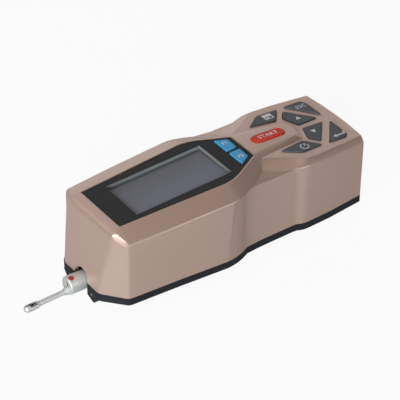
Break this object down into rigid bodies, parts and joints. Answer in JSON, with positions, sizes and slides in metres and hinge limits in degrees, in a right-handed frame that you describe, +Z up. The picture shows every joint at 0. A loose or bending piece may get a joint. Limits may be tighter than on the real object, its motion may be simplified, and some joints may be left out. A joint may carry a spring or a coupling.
{
  "type": "surface roughness tester",
  "caption": "Hand-held stylus roughness tester with a waisted metallic housing, display, keys, grooved black base and a motor-driven plug-in pickup.",
  "frame": {"origin": "on the table under the middle of the whole length, pickup included", "axes": "+X towards the rear, away from the pickup; +Y to the side of the save key; +Z up"},
  "size_m": [0.1924, 0.0644, 0.0495],
  "materials": {
    "housing_shell": "champagne metallic lacquer on a moulded shell",
    "base_black": "fine-textured black",
    "bezel_black": "smooth black",
    "lcd": "grey-blue display under a clear face",
    "key_blue": "satin blue rubber",
    "key_red": "satin red",
    "key_dark": "satin dark grey rubber",
    "pickup_silver": "turned, satin",
    "mark_red": "red enamel",
    "steel": "bright",
    "stylus": "dark, stands for a diamond point on a steel shank",
    "alloy": "machined",
    "bronze": "plain bearing bronze",
    "motor_can": "zinc plated",
    "circuit_board": "green solder mask",
    "board_parts": "moulded",
    "battery_wrap": "shrink wrap"
  },
  "bodies": {
    "housing": {"upper_housing": "housing_shell", "base_frame": "base_black", "display_bezel": "bezel_black", "lcd_glass": "lcd", "lcd_module": "board_parts", "display_board": "circuit_board", "keypad_board": "circuit_board", "key_switches": "board_parts", "board_screws": "steel", "case_screws": "steel", "front_screws": "steel", "drive_frame": "alloy", "drive_screws": "steel", "guide_rods": "steel", "screw_bearings": "bronze", "drive_motor": "motor_can", "battery_pack": "battery_wrap", "battery_strap": "alloy", "main_board": "circuit_board", "charge_socket": "steel"},
    "carriage": {"carriage": "alloy", "carriage_bushes": "bronze", "drive_nut": "bronze", "pickup_socket": "base_black"},
    "screw": {"lead_screw": "steel", "shaft_coupling": "alloy", "motor_shaft": "steel"},
    "pickup": {"pickup_body": "pickup_silver", "pickup_mark": "mark_red", "pickup_tube": "pickup_silver", "pickup_nose": "pickup_silver", "plug_pins": "bronze", "pivot_pin": "steel"},
    "stylus": {"stylus_lever": "steel", "stylus_tip": "stylus"},
    "key_left": {"key_left": "key_blue"},
    "key_right": {"key_right": "key_blue"},
    "key_start": {"key_start": "key_red"},
    "key_save": {"key_save": "key_dark"},
    "key_power": {"key_power": "key_dark"},
    "key_escape": {"key_escape": "key_dark"},
    "key_enter": {"key_enter": "key_dark"},
    "key_up": {"key_up": "key_dark"},
    "key_down": {"key_down": "key_dark"}
  },
  "joints": [
    {"name": "key_left_press", "type": "slide", "parent": "housing", "child": "key_left", "axis": [0.0443, 0, -0.999], "range_m": [0, 0.0008], "stiffness_N_per_m": 1500},
    {"name": "key_right_press", "type": "slide", "parent": "housing", "child": "key_right", "axis": [0.0443, 0, -0.999], "range_m": [0, 0.0008], "stiffness_N_per_m": 1500},
    {"name": "key_start_press", "type": "slide", "parent": "housing", "child": "key_start", "axis": [-0.045, 0, -0.999], "range_m": [0, 0.0008], "stiffness_N_per_m": 1500},
    {"name": "key_save_press", "type": "slide", "parent": "housing", "child": "key_save", "axis": [-0.045, 0, -0.999], "range_m": [0, 0.0008], "stiffness_N_per_m": 1500},
    {"name": "key_power_press", "type": "slide", "parent": "housing", "child": "key_power", "axis": [-0.045, 0, -0.999], "range_m": [0, 0.0008], "stiffness_N_per_m": 1500},
    {"name": "key_escape_press", "type": "slide", "parent": "housing", "child": "key_escape", "axis": [-0.045, 0, -0.999], "range_m": [0, 0.0008], "stiffness_N_per_m": 1500},
    {"name": "key_enter_press", "type": "slide", "parent": "housing", "child": "key_enter", "axis": [-0.045, 0, -0.999], "range_m": [0, 0.0008], "stiffness_N_per_m": 1500},
    {"name": "key_up_press", "type": "slide", "parent": "housing", "child": "key_up", "axis": [-0.045, 0, -0.999], "range_m": [0, 0.0008], "stiffness_N_per_m": 1500},
    {"name": "key_down_press", "type": "slide", "parent": "housing", "child": "key_down", "axis": [-0.045, 0, -0.999], "range_m": [0, 0.0008], "stiffness_N_per_m": 1500},
    {"name": "traverse", "type": "slide", "parent": "housing", "child": "carriage", "axis": [1, 0, 0], "range_m": [0, 0.0175]},
    {"name": "screw_turn", "type": "hinge", "parent": "housing", "child": "screw", "pos_m": [-0.02906, 0, 0.018], "axis": [1, 0, 0], "range_deg": [-10, 2530]},
    {"name": "pickup_pull", "type": "slide", "parent": "carriage", "child": "pickup", "axis": [-1, 0, 0], "range_m": [0, 0.012]},
    {"name": "stylus_rock", "type": "hinge", "parent": "pickup", "child": "stylus", "pos_m": [-0.06536, 0, 0.00353], "axis": [0, 1, 0], "range_deg": [-0.4, 0.8], "stiffness_Nm_per_rad": 0.02}
  ],
  "couplings": [
    {"joint": "screw_turn", "follows": "traverse", "rad_per_m": 2513.3}
  ]
}
